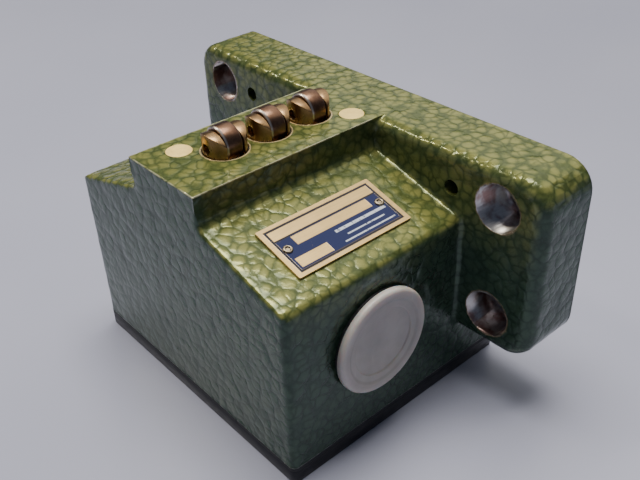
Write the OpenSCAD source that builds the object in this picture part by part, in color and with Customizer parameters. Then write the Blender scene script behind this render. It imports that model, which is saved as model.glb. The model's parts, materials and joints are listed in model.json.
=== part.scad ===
// Multiple position limit switch: a row of spring-returned roller plungers in a
// cast housing, each one working a snap-action contact insert.
// Origin: centre of the four mounting holes, on the mounting face.
// +X along the flange, +Y out of the mounting face, +Z the way the plungers point.

/* [Flange] */
// Length of the mounting flange
flange_l = 120; // [112:1:130]
// Height of the mounting flange
flange_h = 46; // [44:1:52]
// Thickness of the mounting flange
flange_t = 16; // [14:1:20]
// Radius of the flange corners
flange_corner_r = 7; // [5:0.5:9]
// Rounding of the flange's front edge
flange_edge_r = 3; // [2:0.5:4.5]
// Distance between mounting holes along the flange
hole_span_x = 96; // [92:1:100]
// Distance between mounting holes up the flange
hole_span_z = 28; // [24:1:30]
// Diameter of the screw clearance holes
screw_hole_d = 6.6; // [5.5:0.1:7]
// Diameter of the screw head counterbores
counterbore_d = 11; // [10:0.5:12]
// Depth of the screw head counterbores
counterbore_depth = 9; // [6:0.5:10]
// Distance between the two locating holes
locating_span = 71; // [69:0.5:72]
// Diameter of the locating holes
locating_d = 3.8; // [3:0.1:4]

/* [Body] */
// Width of the body
body_w = 78; // [77:1:84]
// Depth of the body from the mounting face
body_depth = 67; // [66:1:70]
// Lowest face of the casting, below the hole centre
body_bottom = -34; // [-36:1:-33]
// Half width of the raised plunger block
block_half_w = 12.2; // [11:0.1:13]
// Drop from the block's top to the inner edge of a shoulder
shoulder_in_drop = 7.65; // [6:0.05:9]
// Drop from the block's top to the outer edge of a shoulder
shoulder_out_drop = 15.3; // [13:0.1:17]
// Rounding of the shoulder's outer edge
shoulder_r = 2.5; // [1.5:0.5:3.5]
// Fillet at the foot of the plunger block
block_foot_r = 2.5; // [1.5:0.5:3]
// Rounding of the body's upright front edges
upright_r = 1.6; // [1:0.2:2.4]
// Thickness of the side walls
side_wall = 6; // [5:0.5:7]
// Thickness of the front wall
front_wall = 5; // [4:0.5:6]
// Thickness of the rear wall, behind the contact chamber
rear_wall = 12; // [11:0.5:13]
// Height of the chamber's ceiling
ceiling = 2; // [1:0.5:3]

/* [Base] */
// Thickness of the cover gasket
gasket_t = 1; // [0.8:0.1:1.5]
// Thickness of the bottom cover
cover_t = 3.5; // [3:0.1:4]
// Diameter of the cover screws
cover_screw_d = 4; // [3:0.5:4]

/* [Plungers] */
// Distance between neighbouring plungers
pitch = 12; // [12:0.1:12.5]
// Distance of the middle plunger from the mounting face
middle_y = 38; // [37:0.5:39]
// Diameter of a plunger
plunger_d = 9.9; // [9.8:0.02:9.92]
// Height of the fork's rounded crown above the block
crown_h = 5.05; // [5:0.05:5.5]
// Radius of the fork's crown
crown_r = 5.1; // [5:0.05:5.6]
// Width of the slot for the roller
slot_w = 4.7; // [4.6:0.05:5]
// Diameter of a roller
roller_d = 8.6; // [8:0.1:8.8]
// Width of a roller
roller_w = 4.2; // [4:0.05:4.3]
// Chamfer of a roller's two edges
roller_chamfer = 0.4; // [0.2:0.1:0.6]
// Height of a roller's axle above the block
axle_h = 1.7; // [1.5:0.1:2]
// Diameter of an axle pin
axle_d = 2.48; // [2.4:0.02:2.5]
// Travel of a plunger
travel = 5; // [4:0.5:5]

/* [Cable entry] */
// Distance of the entry from the mounting face
entry_y = 42; // [40:1:44]
// Height of the entry's centre
entry_z = -11; // [-13:1:-10]
// Diameter of the entry's thread
entry_d = 20; // [18:0.5:20]
// Diameter of the blanking plug's flange
plug_flange_d = 25.5; // [24:0.5:27]

/* [Nameplate] */
// Length of the nameplate
plate_l = 31.7; // [28:0.1:34]
// Width of the nameplate
plate_w = 14.5; // [12:0.1:16]
// Distance of the nameplate from the foot of the block, down the slope
plate_gap = 7.3; // [6:0.1:8]

/* [Hidden] */
$fn = 64;
eps = 0.01;
block_top = flange_h / 2;
half_w = body_w / 2;
stations = [1, 2, 3];
function station_y(i) = -middle_y + (i - 2) * pitch;

// shoulder slope
shoulder_in_z = block_top - shoulder_in_drop;
shoulder_out_z = block_top - shoulder_out_drop;
shoulder_run = half_w - block_half_w;
shoulder_angle = atan2(shoulder_in_z - shoulder_out_z, shoulder_run);
function slope_z(x) = shoulder_in_z - (x - block_half_w) * tan(shoulder_angle);

// contact chamber
chamber_half_w = half_w - side_wall;
chamber_front = -(body_depth - front_wall);
chamber_back = -rear_wall;
cover_top = body_bottom - gasket_t;
cover_bottom = cover_top - cover_t;
cover_screw_x = 33.5;
cover_screw_front = chamber_front + 0.5;
cover_screw_back = -6;
boss_r = 5;
cover_head_r = 3.5;
cover_head_h = 2.4;
hex_key_d = 3.46;
cover_screw_depth = 10;

// plunger guide
seal_seat_z = block_top - 1.8;
seal_seat_r = 5.31;
bush_r = 5.5;
bush_bore_r = 5;
bush_bottom = 5;
channel_half_w = 5.6;
rail_half_w = 8.6;
rail_bottom = -2;
channel_end = 7;
plunger_r = plunger_d / 2;
collar_half_x = 5.5;
collar_half_y = 5.2;
collar_t = 2;
collar_top = bush_bottom - 0.1;
stem_r = 2;
axle_z = block_top + axle_h;
slot_floor = axle_z - roller_d / 2 - 0.3;
axle_hole_r = 1.25;
axle_l = 7.6;
roller_bore_r = 1.3;

// carrier plate, contact inserts and their screws
carrier_top = -8;
carrier_t = 2;
carrier_bottom = carrier_top - carrier_t;
carrier_half_x = 30;
carrier_y = [-60, -16];
post_x = 26;
post_y = [-57, -19];
post_r = 3.6;
m3_r = 1.5;
m3_head_r = 2.4;
m3_head_h = 1.6;
slot_cut_w = 0.7;
stem_end = -4.9;
stem_hole_r = 2.6;
insert_half_x = 18;
insert_half_y = 5.8;
insert_bottom = -27;
cell_half_x = 9;
cell_half_y = 4.6;
cell_z = [-20, -15];
button_r = 1.65;
button_top = -5;
button_neck_z = -15;
button_tail_r = 0.9;
button_end = -20.5;
bridge_half_x = 8;
bridge_half_y = 4.1;
bridge_t = 0.6;
bridge_top = -16.4;
strip_w = 2.4;
strip_t = 0.5;
strip_y = 2.9;
closed_strip_z = -15.6;
open_strip_z = -18.2;
strip_tip_x = 5;
terminal_x = 15;

// return spring
spring_r = 3.2;
spring_wire_r = 0.35;
spring_turns = 6;
spring_steps = 16;
spring_sides = 8;

// locating pins, pressed in flush with the block's top
pin_x = 6.6;
pin_y = 19.6;
pin_r = 3;
pin_l = 12;

// nameplate and its rivets
plate_t = 0.5;
rivet_y = 13;
rivet_r = 0.8;
rivet_head_r = 1.1;
rivet_l = 4;

// earth screw on the chamber's rear wall
earth_x = 24;
earth_z = -22;

// Points along an arc, from angle a to angle b.
function arc(x, y, r, a, b, steps = 6) =
  [for (k = [0:steps]) let (t = a + (b - a) * k / steps) [x + r * cos(t), y + r * sin(t)]];

// Extrude an X-Z outline towards -Y, starting at y.
module along_y(y, length) {
  translate([0, y, 0]) rotate([90, 0, 0]) linear_extrude(length) children();
}

// Cylinder along Y whose near end is at y, running towards -Y.
module bar_y(x, y, z, r, length) {
  translate([x, y, z]) rotate([90, 0, 0]) cylinder(r = r, h = length);
}

// Upright cylinder from z to z + length.
module post(x, y, z, r, length) {
  translate([x, y, z]) cylinder(r = r, h = length);
}

// Box between two corners.
module span(low, high) {
  translate(low) cube(high - low);
}

// Place children on the +X shoulder, a distance down the slope from the block's foot.
module on_shoulder(distance) {
  translate([block_half_w, 0, shoulder_in_z]) rotate([0, shoulder_angle, 0])
    translate([distance, 0, 0]) children();
}

// Right half of the body's outline: upright wall, sloping shoulder, raised block.
function half_outline() = concat(
  [[half_w, body_bottom]],
  arc(half_w - shoulder_r, slope_z(half_w - shoulder_r) - shoulder_r / cos(shoulder_angle),
      shoulder_r, 0, 90 - shoulder_angle),
  arc(block_half_w + block_foot_r,
      slope_z(block_half_w + block_foot_r) + block_foot_r / cos(shoulder_angle),
      block_foot_r, 270 - shoulder_angle, 180),
  [[block_half_w, block_top]]
);

module body_blank() {
  right = half_outline();
  left = [for (k = [len(right) - 1:-1:0]) [-right[k][0], right[k][1]]];
  intersection() {
    along_y(0, body_depth) polygon(concat(right, left));
    translate([0, 0, body_bottom - 1]) linear_extrude(flange_h * 2) plan_outline();
  }
}

// Plan of the body: square at the mounting face, rounded upright edges in front.
module plan_outline() {
  polygon(concat(
    [[-half_w, 0]],
    arc(-half_w + upright_r, -body_depth + upright_r, upright_r, 180, 270),
    arc(half_w - upright_r, -body_depth + upright_r, upright_r, 270, 360),
    [[half_w, 0]]
  ));
}

// Flange with round corners and a rounded front edge.
module flange_blank() {
  hull() for (sx = [-1, 1], sz = [-1, 1])
    translate([sx * (flange_l / 2 - flange_corner_r), 0, sz * (flange_h / 2 - flange_corner_r)])
      rotate([90, 0, 0]) rotate_extrude($fn = 32) polygon(concat(
        [[0, 0], [flange_corner_r, 0]],
        arc(flange_corner_r - flange_edge_r, flange_t - flange_edge_r, flange_edge_r, 0, 90),
        [[0, flange_t]]
      ));
}

// Contact chamber, open below, with its corner bosses left standing.
module chamber() {
  difference() {
    span([-chamber_half_w, chamber_front, body_bottom - 1], [chamber_half_w, chamber_back, ceiling]);
    for (sx = [-1, 1]) {
      post(sx * cover_screw_x, cover_screw_front, body_bottom - 2, boss_r, ceiling - body_bottom + 3);
      rail_x = sx * (channel_half_w + rail_half_w) / 2;
      rail_w = rail_half_w - channel_half_w;
      span([rail_x - rail_w / 2, -middle_y - pitch - channel_end, rail_bottom],
           [rail_x + rail_w / 2, -middle_y + pitch + channel_end, ceiling + 1]);
      for (y = post_y) post(sx * post_x, y, carrier_top, post_r, ceiling - carrier_top + 1);
    }
  }
  span([-channel_half_w, -middle_y - pitch - channel_end, rail_bottom],
       [channel_half_w, -middle_y + pitch + channel_end, bush_bottom]);
}

module housing() {
  color("#6f7448") difference() {
    union() {
      body_blank();
      flange_blank();
    }
    chamber();
    for (i = stations) {
      post(0, station_y(i), bush_bottom - 1, bush_r, seal_seat_z - bush_bottom + 1);
      post(0, station_y(i), seal_seat_z - 1, seal_seat_r, block_top - seal_seat_z + 2);
    }
    for (sx = [-1, 1]) {
      for (sz = [-1, 1]) {
        bar_y(sx * hole_span_x / 2, 1, sz * hole_span_z / 2, screw_hole_d / 2, flange_t);
        bar_y(sx * hole_span_x / 2, counterbore_depth - flange_t, sz * hole_span_z / 2,
              counterbore_d / 2, flange_t);
      }
      bar_y(sx * locating_span / 2, 1, hole_span_z / 2, locating_d / 2, flange_t + 2);
      for (y = [cover_screw_front, cover_screw_back])
        post(sx * cover_screw_x, y, body_bottom - 1, cover_screw_d / 2, cover_screw_depth + 1.5);
      for (y = post_y) post(sx * post_x, y, carrier_top - 1, m3_r, 8.5);
      post(sx * pin_x, -middle_y + sx * pin_y, block_top - pin_l, pin_r, pin_l + 1);
      on_shoulder(plate_gap + plate_w / 2) translate([0, -entry_y + sx * rivet_y, -rivet_l])
        cylinder(r = rivet_r, h = rivet_l + 1);
    }
    translate([chamber_half_w - 1, -entry_y, entry_z]) rotate([0, 90, 0])
      cylinder(r = entry_d / 2, h = side_wall + 2);
    bar_y(earth_x, chamber_back + 7, earth_z, m3_r, 8);
  }
}

// Gasket and cover share the body's plan.
module base_layer(z, thickness) {
  translate([0, 0, z]) linear_extrude(thickness) plan_outline();
}

module cover_gasket() {
  color("#15161a") difference() {
    base_layer(cover_top, gasket_t);
    span([-chamber_half_w, chamber_front + boss_r + 1, cover_top - 1],
         [chamber_half_w, chamber_back, body_bottom + 1]);
    cover_holes(cover_screw_d / 2 + 0.2);
  }
}

module cover_holes(r) {
  for (sx = [-1, 1], y = [cover_screw_front, cover_screw_back])
    post(sx * cover_screw_x, y, cover_bottom - 1, r, cover_t + gasket_t + 2);
}

module bottom_cover() {
  color("#1b1c20") difference() {
    base_layer(cover_bottom, cover_t);
    cover_holes(cover_screw_d / 2 + 0.2);
    for (sx = [-1, 1], y = [cover_screw_front, cover_screw_back])
      post(sx * cover_screw_x, y, cover_bottom - 1, cover_head_r + 0.2, cover_head_h + 1.3);
  }
}

module cover_screws() {
  color("#9b9ca0") for (sx = [-1, 1], y = [cover_screw_front, cover_screw_back])
    translate([sx * cover_screw_x, y, cover_bottom + 0.3]) difference() {
      union() {
        cylinder(r = cover_head_r, h = cover_head_h);
        cylinder(r = cover_screw_d / 2 - 0.02, h = cover_t + gasket_t + cover_screw_depth - 1);
      }
      translate([0, 0, -1]) cylinder(d = hex_key_d, h = cover_head_h, $fn = 6);
    }
}

module nameplate() {
  color("#c9b896") difference() {
    on_shoulder(plate_gap) translate([0, -entry_y - plate_l / 2, 0]) cube([plate_w, plate_l, plate_t]);
    for (side = [-1, 1]) on_shoulder(plate_gap + plate_w / 2)
      translate([0, -entry_y + side * rivet_y, -1]) cylinder(r = rivet_r, h = 3);
  }
}

module nameplate_rivets() {
  color("#b4ab98") for (side = [-1, 1]) on_shoulder(plate_gap + plate_w / 2)
    translate([0, -entry_y + side * rivet_y, 0]) {
      translate([0, 0, plate_t]) rotate_extrude()
        polygon(concat([[0, 0], [rivet_head_r, 0]], arc(rivet_head_r - 0.4, 0.1, 0.4, 0, 90), [[0, 0.5]]));
      translate([0, 0, -rivet_l + 0.5]) cylinder(r = rivet_r - 0.02, h = rivet_l + plate_t - 0.4);
    }
}

// Blanking plug: a dished flange on a hollow threaded shank.
module blanking_plug() {
  flange_r = plug_flange_d / 2;
  shank_r = entry_d / 2 - 0.03;
  color("#a5a5aa") translate([half_w, -entry_y, entry_z]) rotate([0, 90, 0]) rotate_extrude()
    polygon(concat(
      [[0, -1], [shank_r - 2, -1], [shank_r - 2, -side_wall], [shank_r, -side_wall], [shank_r, 0.8],
       [flange_r, 0.8]],
      arc(flange_r - 0.9, 1.6, 0.9, 0, 90),
      [[flange_r - 2.4, 2.5], [flange_r - 2.9, 2.1], [flange_r - 4.2, 2.1], [flange_r - 4.6, 1.7],
       [0, 1.7]]
    ));
}

module plug_seal() {
  color("#202226") translate([half_w, -entry_y, entry_z]) rotate([0, 90, 0]) difference() {
    cylinder(r = plug_flange_d / 2 - 0.4, h = 0.8);
    translate([0, 0, -1]) cylinder(r = entry_d / 2, h = 3);
  }
}

module locating_pins() {
  color("#d9cfae") for (side = [-1, 1])
    post(side * pin_x, -middle_y + side * pin_y, block_top - pin_l + 0.1, pin_r - 0.01, pin_l - 0.1);
}

module guide_bush(i) {
  color("#a8864f") difference() {
    post(0, station_y(i), bush_bottom, bush_r - 0.01, seal_seat_z - bush_bottom);
    post(0, station_y(i), bush_bottom - 1, bush_bore_r, seal_seat_z);
  }
}

module wiper_seal(i) {
  color("#101013") difference() {
    post(0, station_y(i), seal_seat_z + 0.05, seal_seat_r - 0.01, 1.1);
    post(0, station_y(i), seal_seat_z - 1, bush_bore_r, 4);
  }
}

// Plunger: forked head with a rounded crown, square collar and stem.
module plunger(i) {
  crown_z = block_top + crown_h;
  eave_z = crown_z - crown_r;
  color("#8a6f4e") translate([0, station_y(i), 0]) {
    difference() {
      intersection() {
        cylinder(r = plunger_r, h = crown_z + 1);
        union() {
          bar_y(0, 10, eave_z, crown_r, 20);
          span([-crown_r, -10, collar_top - 1], [crown_r, 10, eave_z]);
        }
      }
      span([-10, -slot_w / 2, slot_floor], [10, slot_w / 2, crown_z + 5]);
      bar_y(0, 10, axle_z, axle_hole_r, 20);
    }
    span([-collar_half_x, -collar_half_y, collar_top - collar_t], [collar_half_x, collar_half_y, collar_top]);
    post(0, 0, stem_end, stem_r, collar_top - collar_t - stem_end + 1);
  }
}

module roller(i) {
  half = roller_w / 2;
  r = roller_d / 2;
  color("#4d3b31") translate([0, station_y(i), axle_z]) rotate([90, 0, 0]) rotate_extrude()
    polygon([
      [roller_bore_r, -half], [r - roller_chamfer, -half], [r, -half + roller_chamfer],
      [r, half - roller_chamfer], [r - roller_chamfer, half], [roller_bore_r, half]
    ]);
}

module axle_pin(i) {
  color("#b79b74") bar_y(0, station_y(i) + axle_l / 2, axle_z, axle_d / 2, axle_l);
}

// Helical return spring between the collar and the carrier plate, as one swept tube.
module return_spring(i) {
  bottom = carrier_top + spring_wire_r + eps;
  top = collar_top - collar_t - spring_wire_r - eps;
  rings = spring_turns * spring_steps;
  function centre(k) = [spring_r * cos(360 * k / spring_steps), spring_r * sin(360 * k / spring_steps),
                        bottom + (top - bottom) * k / rings];
  ring_points = [for (k = [0:rings]) let (c = centre(k), a = 360 * k / spring_steps)
    for (s = [0:spring_sides - 1]) let (b = 360 * s / spring_sides)
      c + spring_wire_r * [cos(a) * cos(b), sin(a) * cos(b), sin(b)]];
  walls = [for (k = [0:rings - 1], s = [0:spring_sides - 1]) let (n = (s + 1) % spring_sides)
    [k * spring_sides + s, (k + 1) * spring_sides + s, (k + 1) * spring_sides + n, k * spring_sides + n]];
  first_cap = [for (s = [0:spring_sides - 1]) s];
  last_cap = [for (s = [spring_sides - 1:-1:0]) rings * spring_sides + s];
  color("#b9babd") translate([0, station_y(i), 0])
    polyhedron(points = ring_points, faces = concat([first_cap], walls, [last_cap]), convexity = 10);
}

module carrier_plate() {
  color("#8b8d92") difference() {
    span([-carrier_half_x, carrier_y[0], carrier_bottom], [carrier_half_x, carrier_y[1], carrier_top]);
    for (i = stations) post(0, station_y(i), carrier_bottom - 1, stem_hole_r, carrier_t + 2);
    for (sx = [-1, 1]) {
      for (y = post_y) post(sx * post_x, y, carrier_bottom - 1, m3_r + 0.1, carrier_t + 2);
      for (i = stations) post(sx * terminal_x, station_y(i), carrier_bottom - 1, m3_r + 0.1, carrier_t + 2);
      post(sx * cover_screw_x, cover_screw_front, carrier_bottom - 1, boss_r + 0.4, carrier_t + 2);
    }
  }
}

// Pan-head screw pointing up from z, or down when upside is -1.
module pan_screw(upside, shank_l) {
  turn = upside > 0 ? 0 : 180;
  rotate([turn, 0, 0]) difference() {
    union() {
      cylinder(r = m3_r - 0.05, h = shank_l);
      translate([0, 0, -m3_head_h]) cylinder(r = m3_head_r, h = m3_head_h);
    }
    translate([-3, -slot_cut_w / 2, -m3_head_h - 1]) cube([6, slot_cut_w, 1.8]);
  }
}

module carrier_screws() {
  color("#a3a4a8") for (sx = [-1, 1], y = post_y)
    translate([sx * post_x, y, carrier_bottom]) pan_screw(1, carrier_t + 7);
}

module insert_screws() {
  color("#a3a4a8") for (sx = [-1, 1], i = stations)
    translate([sx * terminal_x, station_y(i), carrier_top]) pan_screw(-1, carrier_t + 5);
}

// Moulded snap-action insert with a contact cell and slots for its four strips.
module contact_insert(i) {
  color("#4a3326") translate([0, station_y(i), 0]) difference() {
    span([-insert_half_x, -insert_half_y, insert_bottom], [insert_half_x, insert_half_y, carrier_bottom]);
    span([-cell_half_x, -cell_half_y, cell_z[0]], [cell_half_x, cell_half_y, cell_z[1]]);
    post(0, 0, cell_z[1] - 1, button_r + 0.08, carrier_bottom - cell_z[1] + 2);
    post(0, 0, button_end - travel - 0.4, button_tail_r + 0.08, 8);
    for (sx = [-1, 1]) {
      post(sx * terminal_x, 0, carrier_bottom - 5.5, m3_r, 7);
      for (side = [-1, 1]) {
        strip_z = side < 0 ? closed_strip_z : open_strip_z;
        span([sx > 0 ? cell_half_x - 1 : -insert_half_x - 1, side * strip_y - strip_w / 2 - 0.1,
              strip_z - strip_t - 0.1],
             [sx > 0 ? insert_half_x + 1 : -cell_half_x + 1, side * strip_y + strip_w / 2 + 0.1,
              strip_z + 0.1]);
        post(sx * terminal_x, side * strip_y, insert_bottom - 1, m3_r, 6.5);
      }
    }
  }
}

module insert_button(i) {
  color("#d8d6cd") translate([0, station_y(i), 0]) {
    post(0, 0, button_neck_z, button_r, button_top - button_neck_z - 0.3);
    post(0, 0, button_top - 0.5, button_r - 0.3, 0.5);
    post(0, 0, button_end, button_tail_r, button_neck_z - button_end + 1);
  }
}

// Bridge that snaps across from the closed pair of contacts to the open pair.
module contact_bridge(i) {
  tip_r = 0.9;
  tip_h = 0.2;
  color("#c48a4a") translate([0, station_y(i), 0]) difference() {
    union() {
      span([-bridge_half_x, -bridge_half_y, bridge_top - bridge_t], [bridge_half_x, bridge_half_y, bridge_top]);
      for (sx = [-1, 1]) {
        post(sx * 6.5, -strip_y, bridge_top - 0.1, tip_r, tip_h + 0.1);
        post(sx * 6.5, strip_y, bridge_top - bridge_t - 0.15, tip_r, tip_h);
      }
    }
    post(0, 0, bridge_top - 2, button_r + 0.35, 4);
  }
}

// Four contact strips, bent down the insert's ends and under it to the terminals.
module fixed_contacts(i) {
  outer_x = insert_half_x + 0.1 + strip_t;
  foot_z = insert_bottom - strip_t;
  color("#c9a04e") translate([0, station_y(i), 0]) for (sx = [-1, 1], side = [-1, 1]) {
    strip_z = side < 0 ? closed_strip_z : open_strip_z;
    outline = [
      [strip_tip_x, strip_z], [outer_x, strip_z], [outer_x, foot_z], [terminal_x - 3, foot_z],
      [terminal_x - 3, insert_bottom], [outer_x - strip_t, insert_bottom],
      [outer_x - strip_t, strip_z - strip_t], [strip_tip_x, strip_z - strip_t]
    ];
    mirror([sx > 0 ? 0 : 1, 0, 0]) difference() {
      along_y(side * strip_y + strip_w / 2, strip_w) polygon(outline);
      post(terminal_x, side * strip_y, foot_z - 1, m3_r - 0.6, 2);
    }
  }
}

module terminal_screws() {
  color("#cfae62") for (i = stations, sx = [-1, 1], side = [-1, 1])
    translate([sx * terminal_x, station_y(i) + side * strip_y, insert_bottom - strip_t]) difference() {
      union() {
        cylinder(r = m3_r - 0.62, h = strip_t + 5);
        translate([0, 0, -m3_head_h]) cylinder(r = m3_head_r, h = m3_head_h);
      }
      translate([-3, -slot_cut_w / 2, -m3_head_h - 1]) cube([6, slot_cut_w, 1.8]);
    }
}

module earth_screw() {
  color("#cfae62") translate([earth_x, chamber_back, earth_z]) rotate([90, 0, 0]) difference() {
    union() {
      translate([0, 0, -6]) cylinder(r = m3_r - 0.05, h = 7);
      cylinder(r = 4, h = 0.8);
      translate([0, 0, 0.8]) cylinder(r = 3, h = 2);
    }
    translate([-4, -0.4, 1.9]) cube([8, 0.8, 2]);
  }
}

housing();
cover_gasket();
bottom_cover();
cover_screws();
nameplate();
nameplate_rivets();
blanking_plug();
plug_seal();
locating_pins();
guide_bush(1);  // guide_bush_1
guide_bush(2);  // guide_bush_2
guide_bush(3);  // guide_bush_3
wiper_seal(1);  // wiper_seal_1
wiper_seal(2);  // wiper_seal_2
wiper_seal(3);  // wiper_seal_3
plunger(1);  // plunger_1
plunger(2);  // plunger_2
plunger(3);  // plunger_3
roller(1);  // roller_1
roller(2);  // roller_2
roller(3);  // roller_3
axle_pin(1);  // axle_pin_1
axle_pin(2);  // axle_pin_2
axle_pin(3);  // axle_pin_3
return_spring(1);  // return_spring_1
return_spring(2);  // return_spring_2
return_spring(3);  // return_spring_3
carrier_plate();
carrier_screws();
insert_screws();
contact_insert(1);  // contact_insert_1
contact_insert(2);  // contact_insert_2
contact_insert(3);  // contact_insert_3
insert_button(1);  // insert_button_1
insert_button(2);  // insert_button_2
insert_button(3);  // insert_button_3
contact_bridge(1);  // contact_bridge_1
contact_bridge(2);  // contact_bridge_2
contact_bridge(3);  // contact_bridge_3
fixed_contacts(1);  // fixed_contacts_1
fixed_contacts(2);  // fixed_contacts_2
fixed_contacts(3);  // fixed_contacts_3
terminal_screws();
earth_screw();
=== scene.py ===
import json
import math

import bmesh
import bpy
import numpy as np
from mathutils import Matrix, Vector
from mathutils import noise as lumps


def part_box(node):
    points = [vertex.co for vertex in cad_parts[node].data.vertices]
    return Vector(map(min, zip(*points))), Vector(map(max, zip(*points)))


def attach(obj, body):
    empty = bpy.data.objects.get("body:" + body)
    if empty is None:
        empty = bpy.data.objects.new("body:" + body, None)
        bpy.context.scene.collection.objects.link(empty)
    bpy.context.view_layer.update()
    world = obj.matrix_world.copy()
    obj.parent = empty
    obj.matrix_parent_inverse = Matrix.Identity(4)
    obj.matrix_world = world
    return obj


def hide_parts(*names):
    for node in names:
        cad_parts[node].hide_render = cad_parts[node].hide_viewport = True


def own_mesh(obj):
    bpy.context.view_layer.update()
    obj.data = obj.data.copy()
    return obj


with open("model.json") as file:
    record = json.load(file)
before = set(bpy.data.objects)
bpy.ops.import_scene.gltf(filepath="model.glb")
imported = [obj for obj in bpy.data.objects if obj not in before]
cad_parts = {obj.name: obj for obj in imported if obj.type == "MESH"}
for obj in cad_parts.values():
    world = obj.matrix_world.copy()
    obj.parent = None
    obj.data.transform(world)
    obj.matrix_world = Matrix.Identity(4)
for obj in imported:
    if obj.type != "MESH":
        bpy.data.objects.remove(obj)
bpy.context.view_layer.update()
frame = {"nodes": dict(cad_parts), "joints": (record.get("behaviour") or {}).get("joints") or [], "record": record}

mm = 0.001
nodes = frame["nodes"]
stations = (1, 2, 3)
scene = bpy.context.scene


def mountNamed(name):
    return next(mount for mount in frame["record"]["mounts"] if mount["name"] == name)


# places that several pieces share, read from the frame
castLow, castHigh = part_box("housing")
coverLow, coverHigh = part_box("bottom_cover")
bodyHalf, bodyFront, blockTop = coverHigh.x, castLow.y, castHigh.z
flangeEnd = castHigh.x
screwHoles = mountNamed("flange_screws")["dims"]
screwX, screwZ = screwHoles["spacing_x_mm"] / 2 * mm, screwHoles["spacing_y_mm"] / 2 * mm
entry = mountNamed("cable_entry")["pos_m"]
plungerAt = {i: (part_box(f"plunger_{i}")[0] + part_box(f"plunger_{i}")[1]) / 2 for i in stations}

# and the casting's own sizes, which its finish and its skin both use
flangeFront = -16 * mm
blockHalf = 12.2 * mm
counterbore = 5.5 * mm                                # radius of the screw heads' pockets
boreEdge = 5.60 * mm                                  # radius of the plunger bores at the top
slopeDrop = 7.65 * mm                                 # fall of a shoulder from the block to the side
slopeAngle = math.atan2(slopeDrop, bodyHalf - blockHalf)
chamber = {"half": 33.2 * mm, "back": -11.9 * mm, "front": -62.2 * mm, "top": 2.1 * mm}


class Wire:  # one shader socket, so that sums on it are written as plain expressions
    def __init__(self, tree, socket=None):
        self.tree, self.socket = tree, socket

    def make(self, kind, settings=None, inputs=None, out=0):
        node = self.tree.nodes.new("ShaderNode" + kind)
        for key, value in (settings or {}).items():
            setattr(node, key, value)
        for key, value in (inputs or {}).items():
            if isinstance(value, Wire):
                self.tree.links.new(value.socket, node.inputs[key])
            else:
                node.inputs[key].default_value = value
        return Wire(self.tree, node.outputs[out])

    def sums(self, operation, first, second=0.0):
        wires = [item for item in (first, second) if isinstance(item, Wire)]
        wide = any(item.socket.type in ("VECTOR", "RGBA") for item in wires)
        kind = "VectorMath" if wide else "Math"
        pair = [item if isinstance(item, Wire) or not wide else (item,) * 3 for item in (first, second)]
        return self.make(kind, {"operation": operation}, {0: pair[0], 1: pair[1]})

    def __add__(self, other):
        return self.sums("ADD", self, other)

    def __radd__(self, other):
        return self.sums("ADD", other, self)

    def __sub__(self, other):
        return self.sums("SUBTRACT", self, other)

    def __rsub__(self, other):
        return self.sums("SUBTRACT", other, self)

    def __mul__(self, other):
        return self.sums("MULTIPLY", self, other)

    def __rmul__(self, other):
        return self.sums("MULTIPLY", other, self)

    def __truediv__(self, other):
        return self.sums("DIVIDE", self, other)

    def __rtruediv__(self, other):
        return self.sums("DIVIDE", other, self)

    def __pow__(self, other):
        return self.sums("POWER", self, other)

    def __rpow__(self, other):
        return self.sums("POWER", other, self)

    def __abs__(self):
        return self.sums("ABSOLUTE", self)

    def least(self, other):
        return self.sums("MINIMUM", self, other)

    def most(self, other):
        return self.sums("MAXIMUM", self, other)

    def rise(self, start, end):  # 0 below start, 1 above end, smooth between; start may be above end
        ends = {"Value": self, "From Min": start, "From Max": end}
        return self.make("MapRange", {"interpolation_type": "SMOOTHSTEP"}, ends)

    def blend(self, low, high):  # this socket is the share of high
        wires = [item for item in (low, high) if isinstance(item, Wire)]
        wide = any(item.socket.type in ("VECTOR", "RGBA") for item in wires) or isinstance(low, tuple)
        if wide:
            pair = [item if isinstance(item, Wire) else (*item, 1) for item in (low, high)]
            return self.make("Mix", {"data_type": "RGBA"}, {0: self, 6: pair[0], 7: pair[1]}, out=2)
        return self.make("Mix", {"data_type": "FLOAT"}, {0: self, 2: low, 3: high})

    def axis(self, name):
        return self.make("SeparateXYZ", None, {0: self}, out=name)

    def mist(self, scale, detail=3, rough=0.5):  # soft noise, about 0.5
        inputs = {"Vector": self, "Scale": scale, "Detail": detail, "Roughness": rough}
        return self.make("TexNoise", None, inputs)

    def cells(self, scale, feature="F1", wander=1.0):  # distance to a cell's centre or edge
        inputs = {"Vector": self, "Scale": scale, "Randomness": wander}
        return self.make("TexVoronoi", {"feature": feature}, inputs)

    def stretched(self, x, y, z):
        return self.make("Mapping", None, {"Vector": self, "Scale": (x, y, z)})


def startFinish(name, constants):
    material = bpy.data.materials.new(name)
    material.use_nodes = True
    shader = material.node_tree.nodes["Principled BSDF"]
    for key, value in constants.items():
        shader.inputs[key].default_value = value
    spot = Wire(material.node_tree).make("TexCoord", out="Object")
    return material, shader, spot


def feed(shader, key, wire):
    wire.tree.links.new(wire.socket, shader.inputs[key])


def bump(height, depth, strength=1.0, under=None):  # depth in metres for a height from 0 to 1
    inputs = {"Height": height, "Distance": depth, "Strength": strength}
    if under is not None:
        inputs["Normal"] = under
    return height.make("Bump", None, inputs)


def objectFrom(name, work, smoothBelow=35):
    mesh = bpy.data.meshes.new(name)
    work.to_mesh(mesh)
    work.free()
    mesh.shade_smooth()
    mesh.set_sharp_from_angle(angle=math.radians(smoothBelow))
    piece = bpy.data.objects.new(name, mesh)
    scene.collection.objects.link(piece)
    return piece


def place(piece, material, body, slot, *replaced):
    piece.data.materials.clear()
    piece.data.materials.append(material)
    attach(piece, body)
    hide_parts(*replaced)


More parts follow.
